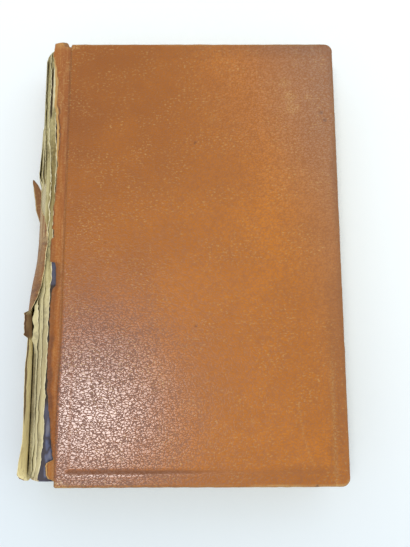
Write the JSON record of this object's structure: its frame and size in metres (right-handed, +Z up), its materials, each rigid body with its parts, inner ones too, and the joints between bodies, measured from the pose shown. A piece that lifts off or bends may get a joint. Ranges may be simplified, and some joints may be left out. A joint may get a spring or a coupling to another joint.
{
  "type": "hardback book",
  "caption": "Worn leather-covered hardback book lying closed, with a torn spine, a rounded block of pages and two hinged covers.",
  "frame": {"origin": "centre of the back cover's outer face, which the book lies on", "axes": "+X from the spine to the fore-edge, +Y from the tail to the head, +Z up from the back cover to the front cover"},
  "size_m": [0.1708, 0.2419, 0.036],
  "materials": {
    "cover_leather": "grained, polished by wear",
    "spine_leather": "worn, flesh side bare",
    "board": "pressed millboard",
    "endpaper": "matt, dyed",
    "pages": "aged, matt",
    "lining_paper": "brittle, glue stained",
    "mull": "open weave",
    "tape": "woven linen"
  },
  "bodies": {
    "back_cover": {"back_cover_leather": "cover_leather", "back_board": "board", "back_pastedown": "endpaper"},
    "pages": {"text_block": "pages", "front_flyleaf": "endpaper", "back_flyleaf": "endpaper", "spine_mull": "mull", "spine_lining": "lining_paper", "spine_leather": "spine_leather", "sewing_tape_1": "tape", "sewing_tape_2": "tape", "sewing_tape_3": "tape", "sewing_tape_4": "tape"},
    "front_cover": {"front_cover_leather": "cover_leather", "front_board": "board", "front_pastedown": "endpaper"}
  },
  "joints": [
    {"name": "back_cover_hinge", "type": "hinge", "parent": "back_cover", "child": "pages", "pos_m": [-0.0833, 0, 0.0027], "axis": [0, -1, 0], "range_deg": [0, 90]},
    {"name": "front_cover_hinge", "type": "hinge", "parent": "pages", "child": "front_cover", "pos_m": [-0.0773, 0, 0.0339], "axis": [0, -1, 0], "range_deg": [0, 175]}
  ]
}
